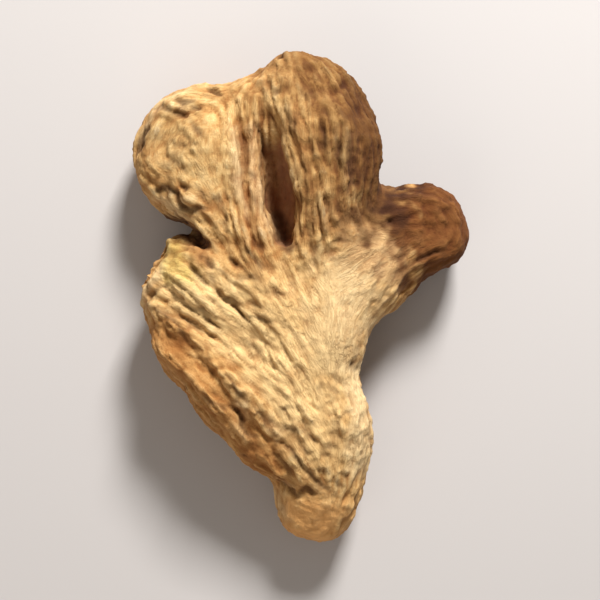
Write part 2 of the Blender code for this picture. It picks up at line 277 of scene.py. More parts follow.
# %% Grow streaks along the grain
LONG_REACH = (0.9 * MM, 0.18 * MM)  # along and across the grain
ROUND_REACH = (0.5 * MM, 0.34 * MM)


def sharing(along_reach, across_reach):
    """How much each point takes from each neighbour."""
    offset = points[near_by] - points[:, None]
    along = np.einsum("nkj,nj->nk", offset, grain) / along_reach
    across = np.einsum("nkj,nj->nk", offset, np.cross(normals, grain)) / across_reach
    facing = np.clip(np.einsum("nkj,nj->nk", normals[near_by], normals), 0, 1)
    share = facing * np.exp(-(along**2) - across**2)
    return share / share.sum(1, keepdims=True)


def streaks(share, rounds, wide_share, wide_rounds, seed):
    """Random heights that the shares stretch along the grain, with a spread of 1."""
    height = np.random.default_rng(seed).normal(size=len(points))
    for _ in range(rounds):
        height = (share * height[near_by]).sum(1)
    wide = height
    for _ in range(wide_rounds):
        wide = (wide_share * wide[near_by]).sum(1)
    height = height - wide
    return height / height.std()


long_share = sharing(*LONG_REACH)
round_share = sharing(*ROUND_REACH)
long_streaks = streaks(long_share, rounds=11, wide_share=round_share, wide_rounds=5, seed=11)
short_streaks = streaks(round_share, rounds=4, wide_share=round_share, wide_rounds=6, seed=12)
print("highest streak, in spreads:", round(float(long_streaks.max()), 1))

# %% [markdown]
# ## Ridges with narrow furrows
# Where a streak changes from up to down the skin folds in. The distance from zero gives that:
# rounded ridges, up or down, with a narrow furrow between them wherever the height passes zero. The
# same place is also kept as a thin line, for the paint.

# %% Fold the streaks
SOFTNESS = 0.8  # how slowly a ridge rises from its furrow
ROUNDED = 0.03  # rounds the bottom of the furrow
LINE_WIDTH = 0.3


def folded(height):
    """Rounded ridges with a narrow furrow wherever the height passes zero, from 0 to 1."""
    return 1 - np.exp(-np.sqrt(height**2 + ROUNDED) / SOFTNESS)


def lines_of(height):
    """1 on the thin lines where the skin folds in, and 0 away from them."""
    return np.exp(-((height / LINE_WIDTH) ** 2))


combed = folded(long_streaks)
pebbled = folded(short_streaks)
print("combed:", round(float(combed.mean()), 2), "pebbled:", round(float(pebbled.mean()), 2))

# %% [markdown]
# ## The large relief
# How far a point stands out of the skin's local average tells ridges from furrows. The large
# wrinkles are lowered a little by that number, so that the fine ones lead, and it tells the paint
# where the skin is rubbed and where dirt stays and shade is painted. Compared over a much wider
# area it tells how far a point is sunk in the crevice, and so how much painted shade the crevice
# gets.

# %% Measure the large relief
LOCAL_ROUNDS = 4
DEEP_ROUNDS = 30
# The crevice's painted shade starts at the first depth and is full at the second.
HOLLOW = (0.4 * MM, 2.2 * MM)  # sunk so far the crevice starts, and is dark

local = averaged(points, LOCAL_ROUNDS)
large = np.einsum("nj,nj->n", points - local, normals)
large -= averaged(large[:, None], LOCAL_ROUNDS)[:, 0]
sunk = np.einsum("nj,nj->n", averaged(local, DEEP_ROUNDS) - points, normals)
hollow = ease(sunk, *HOLLOW)
print("large relief, in mm:", round(large.min() / MM, 2), "to", round(large.max() / MM, 2))
print("sunk, in mm:", np.percentile(sunk / MM, [1, 50, 90, 97, 99]).round(2))

# %% [markdown]
# ## Places that differ
# The skin isn't alike all over. The palm stayed smooth and pale where it was rubbed, the upper left
# lobe is a calm plateau, the leg is combed with fine wrinkles, its side is rough with brown cork
# and gets painted shade, its tip is smooth and reddish, and the lobe at the top, its right side and
# the arm are brown and also get a painted shadow, as if a root lay beside them. The lit part of the
# leg and its lit right edge get painted light, and the notch and the crevice have places for
# painted shade. Each place is a row of soft spots along a line in plan, in millimetres: 1 on the
# line and 0 outside its radius, with a ragged edge from noise. Most places are on the upper side
# alone, and a few go all the way round.

# %% Mark the places
PLACES = {
    "pale_palm": (6.5, [(9.5, 6.0), (6.0, 1.2), (4.4, -5.0)]),
    "lit_leg": (7.0, [(-2, 0), (1, -8), (3, -16)]),
    "lobe": (6.0, [(-15, 20), (-11.5, 17.5)]),
    "combed_leg": (5.0, [(-14.5, 2.5), (-10, -1.5), (-5, -6.5), (-1, -12)]),
    "pebbled_leg": (4.5, [(4, -10), (4.5, -18)]),
    # The flank gets painted shade over its brown cork.
    "flank_side": (4.2, [(-17.6, -5), (-15, -9.4), (-11.8, -13), (-8.2, -16.6), (-4.8, -20.2)]),
    # The arm gets a painted shadow over its brown skin.
    "arm": (7.6, [(15.4, 9.6), (19.0, 12.5), (21.0, 8.6), (18.4, 5.6)]),
    "cords": (3.0, [(-7.2, 23), (-6.6, 14), (-5, 7)]),
    # The lobe at the top and its right side: brown skin under a painted shadow.
    "brown_lobe": (11.5, [(4, 31), (7, 25), (7.5, 17)]),
    "brown_side": (5.2, [(8.6, 27), (10.4, 20), (10.6, 12)]),
    "lip": (2.6, [(-6.3, 21), (-6, 14), (-5.2, 8)]),
    # Painted shade at the inner end of the notch and on its walls.
    "notch_end": (1.9, [(-13.2, 6.8), (-12.4, 5.4)]),
    "notch_wall": (1.9, [(-20, 10.6), (-16, 9.8), (-13.4, 8.4), (-11.8, 6.8)]),
    "fan": (4.0, [(5, 10), (10, 5.5), (13, 4)]),
    # A painted highlight on the lit right edge of the leg.
    "leg_edge": (2.2, [(7.4, -9), (7.8, -15), (7.4, -21)]),
    "red_tip": (6.6, [(1.8, -29.5), (2.0, -31.0)]),
    "yellow_corner": (2.8, [(-16.6, 6.6), (-14.8, 3.6)]),
    "worn_corner": (3.4, [(-20.6, 5.0), (-19.6, 7.6)]),
    # Painted shade in the crevice: lighter on its open slope, darkest at its lower end.
    "crevice_slope": (1.5, [(-2.2, 20), (-1.7, 15), (-1.2, 10.5)]),
    "crevice_end": (1.5, [(-2.9, 10.4), (-2.3, 8.6), (-1.9, 7.0)]),
}
ALL_ROUND = [
    "arm", "brown_lobe", "brown_side", "red_tip", "notch_wall", "crevice_slope", "worn_corner",
]
PLACE_EDGE = (0.2, 1.15)  # shares of the radius between which a place fades
EDGE_NOISE = 0.3
SPOT_GAP = 1.5


def noise_spots(scale, offset):
    """Each point's spot in a noise; scale is in changes per millimetre."""
    shift = Vector(offset)
    return [Vector(p) * (scale / MM) + shift for p in points]


def patchy(scale, offset, octaves=2):
    """Noise over the skin, between about -1 and 1."""
    spots = noise_spots(scale, offset)
    return np.array([noise.fractal(s, 1.0, 2.0, octaves) for s in spots]) * 1.5


ragged = patchy(0.5, (9, 4, 2))
upper_side = ease(normals[:, 2], -0.3, 0.3)


def place(name, radius, line):
    """How far each point belongs to a place, from 0 to 1."""
    found = 1 - ease(gap_to(line, SPOT_GAP) / radius + EDGE_NOISE * ragged, *PLACE_EDGE)
    return found if name in ALL_ROUND else found * upper_side


marks = {name: place(name, radius, line) for name, (radius, line) in PLACES.items()}
print("points in each place:", {name: int((m > 0.5).sum()) for name, m in marks.items()})

# %% [markdown]
# ## Furrows with a place of their own
# Grown wrinkles give the right kind of skin, but some creases are seen from a step away, so these
# are listed one by one. Each is a depth and a line in plan, both in millimetres.

# %% Say where the furrows run
FURROWS = {
    "rim of the lobe": [
        (0.8, [(-19.4, 22.1), (-20.1, 20.8), (-20.6, 19.6), (-20.8, 18.6)]),
        (0.8, [(-15.8, 25.3), (-14.8, 25.0), (-13.8, 25.2)]),
        (0.7, [(-17.8, 24.4), (-17.0, 24.3), (-16.4, 24.1)]),
        (0.9, [(-16.1, 23.9), (-15.2, 23.6), (-14.5, 23.2)]),
        (0.7, [(-13.8, 24.5), (-12.9, 24.3)]),
        (0.5, [(-14.0, 22.4), (-13.4, 21.8), (-12.8, 21.0), (-12.4, 20.4)]),
        (0.9, [(-11.4, 27.0), (-10.8, 26.6), (-10.2, 26.3)]),
    ],
    "plateau of the lobe": [
        (0.2, [(-16.4, 20.0), (-15.4, 19.6), (-14.6, 19.2)]),
        (0.2, [(-13.9, 19.7), (-12.8, 19.2)]),
        (0.3, [(-17.7, 16.8), (-16.9, 16.8), (-16.2, 17.6), (-15.4, 17.2), (-14.6, 16.4)]),
    ],
    "round the oval bump": [
        (0.9, [(-18.4, 13.9), (-17.6, 14.3), (-16.6, 14.2), (-15.8, 13.4), (-15.3, 12.4)]),
        (0.8, [(-15.3, 12.4), (-14.6, 11.7), (-13.6, 11.3), (-12.6, 11.3), (-11.8, 11.4)]),
        (0.7, [(-15.0, 14.5), (-14.2, 13.9)]),
        (0.4, [(-13.2, 14.2), (-12.3, 13.4), (-11.9, 12.6)]),
        (0.4, [(-10.8, 13.4), (-10.2, 12.6), (-9.8, 11.6)]),
    ],
    "between the cords": [
        (0.25, [(-7.5, 21.6), (-7.3, 20.4), (-7.0, 19.2),
               (-7.0, 17.6), (-7.1, 15.8), (-6.8, 14.4)]),
        (0.3, [(-8.9, 16.4), (-8.6, 15.2), (-8.2, 14.8)]),
        (0.3, [(-8.4, 13.8), (-8.0, 13.0)]),
        (0.4, [(-9.4, 11.0), (-9.2, 9.6), (-9.0, 8.6)]),
        (0.3, [(-7.7, 10.2), (-7.2, 8.8), (-6.9, 8.0)]),
        (0.4, [(-5.9, 15.6), (-5.5, 15.0)]),
        (0.3, [(-5.8, 13.0), (-5.7, 12.0)]),
        (0.5, [(-5.8, 22.0), (-5.1, 21.4), (-4.7, 20.2), (-4.6, 18.4)]),
    ],
    "below the notch": [
        (1.0, [(-13.8, 4.2), (-13.0, 3.5), (-12.6, 2.9), (-12.0, 2.2)]),
        (0.4, [(-12.8, 5.4), (-12.3, 5.2)]),
        (0.8, [(-11.7, 4.8), (-10.8, 4.3)]),
        (0.4, [(-11.4, 3.2), (-10.8, 2.4)]),
        (0.3, [(-10.0, 3.6), (-8.9, 2.6)]),
        (0.7, [(-8.8, 5.1), (-8.1, 4.2)]),
        (0.7, [(-6.6, 6.2), (-6.0, 5.4), (-5.7, 4.7), (-5.0, 4.0)]),
        (0.15, [(-5.7, 7.6), (-5.0, 6.6), (-4.6, 6.0)]),
        (0.4, [(-7.8, 2.4), (-6.8, 3.0), (-5.9, 2.8), (-5.0, 2.2)]),
        (0.3, [(-3.5, 1.2), (-2.8, 0.5), (-2.2, -0.2)]),
    ],
    "combed shoulder": [
        (0.35, [(-12.2, 0.3), (-11.2, 0.0), (-10.4, -0.5), (-9.4, -1.3)]),
        (0.55, [(-10.4, 1.3), (-9.6, 0.4), (-8.8, 0.1), (-8.0, -0.9), (-7.1, -2.2), (-6.5, -2.8)]),
        (0.4, [(-6.2, -2.1), (-5.2, -2.2), (-4.2, -2.7), (-3.2, -2.8)]),
        (0.35, [(-13.9, -0.8), (-13.2, -1.3), (-12.2, -1.5), (-11.4, -2.4), (-10.1, -4.0)]),
        (0.3, [(-15.2, -1.8), (-14.2, -2.6), (-13.2, -3.2), (-12.4, -3.7)]),
        (0.5, [(-18.2, -1.2), (-16.8, -1.9), (-15.5, -2.6), (-14.8, -4.2), (-13.9, -5.3)]),
        (0.4, [(-19.5, -0.8), (-18.6, 0.5), (-17.8, 1.4), (-16.8, 2.0)]),
        (0.3, [(-7.0, -5.3), (-6.0, -5.8), (-5.0, -6.4)]),
        (0.3, [(-6.8, -6.8), (-6.2, -7.5)]),
    ],
    "edge of the leg": [
        (0.6, [(-9.4, -9.5), (-8.4, -10.4), (-7.6, -11.4), (-7.0, -12.4), (-6.3, -13.3)]),
        (0.5, [(-5.6, -13.4), (-5.0, -14.6), (-4.2, -16.0), (-3.4, -17.0), (-2.6, -17.7)]),
        (0.6, [(-2.4, -18.0), (-1.4, -19.0), (-0.4, -19.8), (0.2, -20.8), (0.8, -21.4)]),
        (0.6, [(0.6, -21.2), (1.6, -22.4), (2.4, -23.4), (3.0, -24.0)]),
        (0.7, [(-8.2, -13.4), (-7.6, -14.6), (-7.2, -15.8), (-6.6, -16.6), (-5.6, -17.3)]),
        (0.4, [(-12.0, -11.8), (-11.0, -12.8), (-9.6, -13.6), (-8.4, -13.5)]),
        (0.4, [(-3.4, -19.4), (-2.6, -20.0), (-1.8, -20.8), (-1.2, -21.9)]),
    ],
    "foot of the leg": [
        (0.4, [(-2.3, -13.9), (-1.4, -13.5)]),
        (0.4, [(-2.4, -15.6), (-1.8, -16.4), (-0.6, -16.5),
               (0.6, -16.5), (1.4, -17.2), (2.0, -17.8)]),
        (0.4, [(0.6, -18.6), (1.0, -19.5)]),
        (0.4, [(3.5, -18.1), (4.4, -18.8)]),
        (0.3, [(2.6, -19.5), (3.6, -19.7)]),
        (0.3, [(2.2, -21.5), (3.6, -21.8)]),
        (0.4, [(4.2, -22.4), (4.8, -23.4), (5.2, -24.1)]),
        (0.3, [(5.2, -21.8), (5.9, -23.0)]),
        (0.3, [(4.2, -9.4), (5.0, -10.2), (5.7, -10.7)]),
        (0.3, [(3.7, -10.7), (4.4, -11.4), (5.0, -11.9)]),
        (0.3, [(2.2, -10.6), (3.0, -11.8)]),
        (0.3, [(4.2, -15.3), (5.1, -15.8)]),
    ],
    "root of the tip": [
        (0.7, [(-3.4, -22.9), (-2.2, -23.4), (-1.4, -23.8), (-0.8, -24.6), (-0.2, -25.1)]),
        (0.7, [(0.0, -24.5), (0.7, -24.0), (1.4, -24.4), (2.0, -24.8)]),
    ],
    "brown lobe": [
        (0.9, [(6.3, 20.4), (6.2, 18.0), (6.4, 16.6), (6.4, 15.4), (6.6, 14.4), (5.8, 13.5)]),
        (0.6, [(4.3, 20.4), (4.8, 19.0), (4.6, 17.4), (4.8, 16.4)]),
        (0.5, [(2.4, 21.8), (2.8, 20.4), (3.0, 18.6)]),
        (0.4, [(3.0, 12.8), (3.3, 11.8), (3.2, 10.6)]),
        (0.3, [(4.6, 11.5), (4.8, 10.7)]),
        (0.3, [(-1.2, 22.6), (-0.9, 21.5)]),
        (0.3, [(1.2, 26.2), (1.8, 25.1)]),
        (0.3, [(-0.4, 26.9), (0.2, 25.8), (1.0, 24.6)]),
        (0.3, [(2.7, 23.7), (3.4, 22.6)]),
        (0.3, [(4.9, 23.7), (5.4, 22.7)]),
    ],
    "palm and arm": [
        (0.3, [(3.9, 6.9), (4.8, 7.2), (5.5, 7.4)]),
        (0.3, [(1.2, 9.2), (1.0, 8.0), (1.4, 6.8)]),
        (0.3, [(2.7, 8.8), (2.6, 7.2), (2.0, 6.0)]),
        (0.25, [(9.2, 1.8), (9.4, 3.2), (10.0, 4.6), (10.8, 6.0)]),
        (0.25, [(8.6, -1.4), (9.0, 0.4), (10.4, 3.2)]),
        (0.5, [(15.2, 5.3), (16.2, 5.6), (17.2, 6.0), (18.2, 6.0)]),
        (0.3, [(12.2, 4.6), (12.8, 5.6), (13.0, 7.0)]),
    ],
}


def listed(groups):
    """All lines of a table, without their groups."""
    return [entry for group in groups.values() for entry in group]


print("furrows:", len(listed(FURROWS)), "in", len(FURROWS), "groups")

# %% [markdown]
# ## Crests with a place of their own
# The rims and cords that catch the light are placed the same way, each with a height and a line.

# %% Say where the crests run
CRESTS = {
    "rim of the lobe": [
        (0.4, [(-20.4, 20.9), (-19.5, 22.7), (-18.0, 25.0),
               (-16.4, 25.9), (-14.8, 26.8), (-13.6, 27.4)]),
        (0.3, [(-15.6, 24.5), (-14.4, 24.4)]),
    ],
    "lip of the notch": [
        (0.4, [(-18.6, 13.2), (-17.2, 12.7), (-16.2, 11.9), (-15.2, 11.0), (-13.8, 10.1)]),
        (0.3, [(-14.6, 12.7), (-13.4, 12.7)]),
    ],
    "torn corner": [
        (0.8, [(-20.2, -0.4), (-19.7, 1.4), (-18.4, 2.8),
               (-17.4, 3.8), (-17.0, 5.6), (-16.6, 7.4)]),
    ],
    "cords": [
        (0.4, [(-8.2, 21.5), (-8.1, 19.0), (-8.0, 16.4), (-7.6, 13.4), (-6.6, 10.4)]),
        (0.4, [(-6.2, 22.0), (-6.0, 19.4), (-5.8, 16.8), (-5.4, 14.0), (-4.9, 11.0), (-3.6, 8.4)]),
    ],
    "edge of the leg": [
        (0.4, [(-8.0, -12.6), (-7.2, -13.6), (-6.8, -15.0)]),
        (0.4, [(-8.2, -15.6), (-7.4, -16.8), (-6.8, -17.8)]),
        (0.3, [(-3.9, -14.9), (-3.2, -16.2), (-2.2, -17.2)]),
    ],
    "brown lobe": [
        (0.35, [(5.6, 19.4), (5.5, 17.4), (5.6, 15.6), (5.4, 14.2)]),
    ],
    "tip": [
        (0.3, [(-3.4, -24.6), (-2.8, -26.4), (-1.4, -28.4)]),
    ],
}
print("crests:", len(listed(CRESTS)), "in", len(CRESTS), "groups")

# %% [markdown]
# ## Tracing the lines on the skin
# A line becomes relief through its distance to each point: a bell curve across it, faded towards
# its ends. Noise bends the lines a little, because nothing on a root is straight. A furrow pushes
# up a low lip on both sides, because the skin that it takes in has to come from somewhere.

# %% Trace the lines
FURROW_WIDTH = 0.35 * MM
CREST_WIDTH = 0.5 * MM
LIP_AT = 0.8 * MM  # from the middle of its furrow
LIP_WIDTH = 0.4 * MM
LIP_SHARE = 0.16
LIPLESS = 0.3  # mm; a lip ends where another furrow is so deep
BEND = 0.25 * MM
TRACE_GAP = 0.3  # mm
MARGIN = 2 * MM  # as far as a line is felt
BLUNT = 0.25  # how far up the sine wave a line's end starts

bend = np.stack([patchy(0.5, (1, 1, 0)), patchy(0.5, (0, 1, 7))], axis=1)
bent = points[:, :2] + BEND * bend
on_top = ease(normals[:, 2], -0.1, 0.35)


def traced(groups, width, aside=0.0):
    """The highest line at each point: its height, faded towards its ends and over its width."""
    found = np.zeros(len(points))
    for height, line in listed(groups):
        spots = spots_along(line, TRACE_GAP) * MM
        lowest = spots.min(0) - MARGIN
        highest = spots.max(0) + MARGIN
        close = np.flatnonzero(((bent > lowest) & (bent < highest)).all(1) & (on_top > 0))
        gap = np.linalg.norm(bent[close, None] - spots[None], axis=2)
        fade = np.sin(np.linspace(BLUNT, math.pi - BLUNT, len(spots))) ** 0.5
        shape = height * fade * np.exp(-(((gap - aside) / width) ** 2))
        found[close] = np.maximum(found[close], shape.max(1))
    return found * on_top


furrow = traced(FURROWS, FURROW_WIDTH)
lip = LIP_SHARE * traced(FURROWS, LIP_WIDTH, LIP_AT) * (1 - np.clip(furrow / LIPLESS, 0, 1))
crest = traced(CRESTS, CREST_WIDTH)
print("furrows reach", round(furrow.max(), 2), "mm, crests", round(crest.max(), 2), "mm")

# %% [markdown]
# ## How strong the wrinkles are
# The fine wrinkles vary in depth from patch to patch and from place to place: the leg is combed,
# and the rubbed palm is nearly smooth. Noise and the marked places also decide where the skin is
# pebbled instead.

# %% Share out the fine wrinkles
WRINKLES_AT = {
    "pale_palm": 0.15,
    "lobe": 0.6,
    "combed_leg": 0.9,
    "pebbled_leg": 0.8,
    "arm": 0.55,
    "cords": 0.95,
    "red_tip": 0.4,
}
PEBBLES_AT = {
    "lobe": 0.7,
    "pebbled_leg": 0.6,
    "combed_leg": 0.0,
    "flank_side": 0.0,
    "cords": 0.0,
    "brown_lobe": 0.1,
    "arm": 0.3,
}
FOLD_RANGE = 0.7  # what the folded heights cover


def share_at(strengths):
    """1, or a place's own strength where a point belongs to that place."""
    share = np.ones(len(points))
    for name, strength in strengths.items():
        share *= 1 + marks[name] * (strength - 1)
    return share


def blurred(values, share):
    """The values with a share of the mean of the points that touch."""
    return (1 - share) * values + share * values[near_by[:, :CLOSE]].mean(1)


wrinkle_share = np.clip(0.95 + 0.45 * patchy(0.3, (0, 5, 0)), 0.3, 1.5) * share_at(WRINKLES_AT)
pebbles = np.clip(0.3 + 0.5 * patchy(0.15, (0, 5, 9)), 0, 1)
for name, share in PEBBLES_AT.items():
    pebbles += marks[name] * (share - pebbles)
fold = (1 - pebbles) * lines_of(long_streaks) + pebbles * lines_of(short_streaks)
fine = combed + pebbles * (pebbled - combed)
fine = blurred(2 * (fine - fine.mean()) / FOLD_RANGE, 0.25)
print("pebbled share of the skin:", round(float(pebbles.mean()), 2))

# %% [markdown]
# ## Creases and pits
# Creases like those of crumpled paper come from ridged noise, and they are strongest on the rough
# side. Small pits are the scars of thin roots: most are scattered where the skin is rough, and a
# few have a place of their own.

# %% Make creases and pits
PITS = 22
PIT_RADII = (0.25, 0.45)  # mm
PITLESS = ["pale_palm", "red_tip", "cords", "combed_leg", "pebbled_leg", "lit_leg", "lobe"]
PLACED_PITS = [(-3.1, 25.9), (11.3, 9.9), (6.9, -8.1)]
PLACED_RADIUS = 0.5 * MM


def creased(scale, offset):
    """Sharp creases between flat facets, from about -1 to 1."""
    spots = noise_spots(scale, offset)
    found = np.array([noise.ridged_multi_fractal(s, 1.0, 2.1, 3, 1.0, 2.0) for s in spots])
    return np.clip((found - found.mean()) / (2 * found.std()), -1, 1)


crease = creased(0.45, (5, 5, 5))
rng = np.random.default_rng(5)
calm = sum(marks[name] for name in PITLESS)
rough = np.flatnonzero(calm < 0.1)
centres = list(points[rng.choice(rough, PITS, replace=False)])
radii = list(rng.uniform(*PIT_RADII, PITS) * MM)
upper = np.flatnonzero(normals[:, 2] > 0.5)
for x, y in PLACED_PITS:
    gap = np.linalg.norm(points[upper, :2] - np.array([x, y]) * MM, axis=1)
    centres.append(points[upper[gap.argmin()]])
    radii.append(PLACED_RADIUS)
pit = np.zeros(len(points))
for centre, radius in zip(centres, radii):
    gap = np.linalg.norm(points - centre, axis=1)
    pit = np.maximum(pit, np.exp(-((gap / radius) ** 2)))
print("pits:", len(centres), "on", int((pit > 0.5).sum()), "points")

# %% [markdown]
# ## Moving the skin
# Now the heights become real relief: all of them are added up, and each point moves along its
# normal by the sum. The torn corner of the shoulder is worn back as well. At the end no point may
# lie below the table.

# %% Displace the points
WRINKLES = 0.20 * MM
CREASES = 0.12 * MM
CREASES_AT = {"pale_palm": 0.15, "flank_side": 1.6, "lobe": 1.3, "red_tip": 0.7, "cords": 0.5}
UNEVEN = 0.07 * MM
PIT_DEPTH = 0.35 * MM
CORNER_WEAR = 1.5 * MM
LOWERED = 0.2  # share of the large relief that is taken away
FURROW_SHARE = 0.45
CREST_SHARE = 0.45

uneven = patchy(1.2, (2, 8, 1), octaves=3)
move = WRINKLES * fine * wrinkle_share - LOWERED * large
move += CREASES * crease * share_at(CREASES_AT) + UNEVEN * uneven - PIT_DEPTH * pit
move += MM * (CREST_SHARE * crest + lip - FURROW_SHARE * furrow)
move -= CORNER_WEAR * marks["worn_corner"]
moved = points + normals * move[:, None]
moved[:, 2] = np.maximum(moved[:, 2], 0)
put_points(root.data, moved)
print("moved by", round(move.min() / MM, 2), "to", round(move.max() / MM, 2), "mm")

# %% [markdown]
# ## Numbers for the paint
# A material can read numbers that are stored with the points. Each of these is one number for each
# point: how far it is up a ridge, how steep the skin is, how near a fold line, a pit, a furrow or a
# crest is, how deep in the crevice it is, and how far it belongs to each place.

# %% Store the numbers with the points
LARGE_RANGE = 0.3 * MM
DARK_FURROW = 0.5  # mm deep
PALE_CREST = 0.4  # mm high


def store(name, values):
    """Keeps one number for each point of the root under a name."""
    layer = root.data.attributes.new(name, "FLOAT", "POINT")
    layer.data.foreach_set("value", values.astype(np.float32))


raised = 0.5 * fine * wrinkle_share + 0.2 * crease + 0.3 * large / LARGE_RANGE
store("ridge", np.clip(blurred(raised, 0.4), -1, 1))
store("steep", 1 - ease(normals[:, 2], -0.1, 0.75))
store("fold", fold * np.clip(wrinkle_share, 0, 1))
store("pit", pit)
store("hollow", hollow)
store("furrow", np.clip(furrow / DARK_FURROW, 0, 1))
store("crest", np.clip(crest / PALE_CREST, 0, 1))
for name, values in marks.items():
    store(name, values)
print("stored:", len(root.data.attributes), "attributes")

# %% [markdown]
# ## Ways for the fibres
# The paint's finest fibres are smaller than the mesh, so they are noise in the paint, and that has
# to be stretched along the grain. Noise can only be stretched along a fixed direction, so there are
# six of them, and six stored numbers say how well each one fits the grain at a point.

# %% Store how well each way fits the grain
WAYS = [math.pi * n / 6 for n in range(6)]
FITS = (0.75, 1.0)

calm_grain = averaged((grain[:, :, None] * grain[:, None, :]).reshape(-1, 9), 3).reshape(-1, 3, 3)
for number, angle in enumerate(WAYS):
    way = np.array([math.cos(angle), math.sin(angle), 0])
    along = np.einsum("i,nij,j->n", way, calm_grain, way)
    store(f"way_{number}", ease(along, *FITS))
print("the last way fits", round(float((along > FITS[0]).mean()), 2), "of the points")

# %% [markdown]
# ## Shader maths in plain Python
# A material is a graph of nodes. Written one by one, its sums are hard to read. This small class
# wraps a socket, so that `ridge * 0.5 + 0.5` adds the Math nodes by itself.


# %% A socket that can be used in a sum
class Wire:
    """One output socket of a paint's nodes; sums with it add Math nodes."""

    def __init__(self, paint, socket):
        self.paint = paint
        self.socket = socket

    def math(self, operation, first, second=0.0, clamp=False):
        settings = {"operation": operation, "use_clamp": clamp}
        return self.paint.node("ShaderNodeMath", "Value", settings, {0: first, 1: second})

    def __add__(self, other):
        return self.math("ADD", self, other)

    __radd__ = __add__

    def __sub__(self, other):
        return self.math("SUBTRACT", self, other)

    def __rsub__(self, other):
        return self.math("SUBTRACT", other, self)

    def __mul__(self, other):
        return self.math("MULTIPLY", self, other)

    __rmul__ = __mul__

    def __truediv__(self, other):
        return self.math("DIVIDE", self, other)

    def clamped(self):
        return self.math("ADD", self, 0.0, clamp=True)

    def distance(self, value):
        return self.math("ABSOLUTE", self - value)


print("a wire takes part in:", [name for name in vars(Wire) if name.startswith("__r")])

# %% [markdown]
# ## A material that adds its own nodes
# Every node comes from one method, which takes the kind of node, its settings and what its inputs
# get. The other methods are short names for the nodes that the skin needs often: stored numbers,
# noise, colours that are mixed or multiplied, and smooth steps.


# %% A class for paints
ANY_WAY = 0.05  # weight of plain noise, for skin that none of the ways fits
TURNED = 0.6  # turn about the fibre, so that no other axis lies along the skin and looks woven
THREAD = 0.07  # half a thin line's width, in noise values


class Paint:
    """A new material and short ways to add its nodes."""

    def __init__(self, name):
        self.material = bpy.data.materials.new(name)
        self.material.use_nodes = True
        self.tree = self.material.node_tree
        self.shader = self.tree.nodes["Principled BSDF"]
        self.position = self.node("ShaderNodeTexCoord", "Object")

    def plug(self, socket, value):
        """Links a wire to a socket, or sets the socket to a plain value."""
        if isinstance(value, Wire):
            self.tree.links.new(value.socket, socket)
        else:
            socket.default_value = value

    def put_stops(self, ramp, stops):
        """Gives a colour ramp its stops, each a position and a colour."""
        while len(ramp.elements) < len(stops):
            ramp.elements.new(1.0)
        for element, (position, colour) in zip(ramp.elements, stops):
            element.position = position
            element.color = colour

    def node(self, kind, output, settings=None, inputs=None):
        """Adds a node, with its settings first and its inputs after them; gives one output."""
        made = self.tree.nodes.new(kind)
        for name, value in (settings or {}).items():
            if name == "stops":
                self.put_stops(made.color_ramp, value)
            else:
                setattr(made, name, value)
        for name, value in (inputs or {}).items():
            self.plug(made.inputs[name], value)
        return Wire(self, made.outputs[output])

    def surface(self, name, value):
        """Fills one of the shader's own inputs."""
        self.plug(self.shader.inputs[name], value)

    def number(self, name):
        """A number that is stored with the points."""
        return self.node("ShaderNodeAttribute", "Fac", {"attribute_name": name})

    def noise(self, per_mm, detail=3.0, roughness=0.6, at=None, distortion=0.0):
        """Noise from 0 to 1 with a middle of 0.5."""
        inputs = {"Vector": at or self.position, "Scale": per_mm / MM, "Detail": detail}
        inputs.update({"Roughness": roughness, "Distortion": distortion})
        return self.node("ShaderNodeTexNoise", "Fac", inputs=inputs)

    def stretched(self, stretch, angle):
        """The place on the skin, with one direction in plan made longer."""
        inputs = {"Vector": self.position, "Rotation": (TURNED, 0, angle), "Scale": (stretch, 1, 1)}
        return self.node("ShaderNodeMapping", "Vector", {"vector_type": "TEXTURE"}, inputs)

    def fibres(self, per_mm, stretch, lines=False):
        """Noise from 0 to 1, stretched along the grain; with lines it is 0 on thin lines alone."""
        total = self.noise(per_mm) * ANY_WAY
        weight = ANY_WAY
        for number, angle in enumerate(WAYS):
            streak = self.noise(per_mm, at=self.stretched(stretch, angle), distortion=0.5)
            if lines:
                streak = self.step(streak.distance(0.5), 0.0, THREAD)
            share = self.number(f"way_{number}")
            total = share * streak + total
            weight = share + weight
        return total / weight

    def mix(self, factor, first, second, blend="MIX"):
        """Goes from the first colour to the second as the factor goes from 0 to 1."""
        settings = {"data_type": "RGBA", "blend_type": blend}
        inputs = {"Factor": factor, "A": first, "B": second}
        return self.node("ShaderNodeMix", "Result", settings, inputs)

    def lay(self, colour, mark, share, shade):
        """Lays a share of a shade over a colour where a stored number marks it."""
        return self.mix(self.number(mark) * share, colour, shade)

    def step(self, value, start, end):
        """A smooth step from 0 at start to 1 at end."""
        inputs = {"Value": value, "From Min": start, "From Max": end}
        settings = {"interpolation_type": "SMOOTHSTEP"}
        return self.node("ShaderNodeMapRange", "Result", settings, inputs)


skin = Paint("dried_skin")
print("new material:", skin.material.name)

# %% [markdown]
# ## The skin's base colour
# The base colour goes from the dark brown of deep furrows to the cream of rubbed ridges, so one
# ramp over the height of the skin gives most of it. Its dark end is partly the brown of the furrows
# and partly painted shade in them. Fibres make it streaky, slow noise shifts it from patch to
# patch, and fast noise is the grit.

# %% Mix the base colour
# The darkest tone is partly brown cork and dirt, partly painted shade.
DEEP = (0.07, 0.026, 0.010, 1)
FURROW = (0.31, 0.135, 0.038, 1)
SKIN = (0.58, 0.345, 0.13, 1)
RIDGE = (0.76, 0.52, 0.235, 1)
CREAM = (0.86, 0.69, 0.41, 1)
TONES = [(0.0, DEEP), (0.22, FURROW), (0.5, SKIN), (0.78, RIDGE), (1.0, CREAM)]
MIDDLE_TONE = 0.54

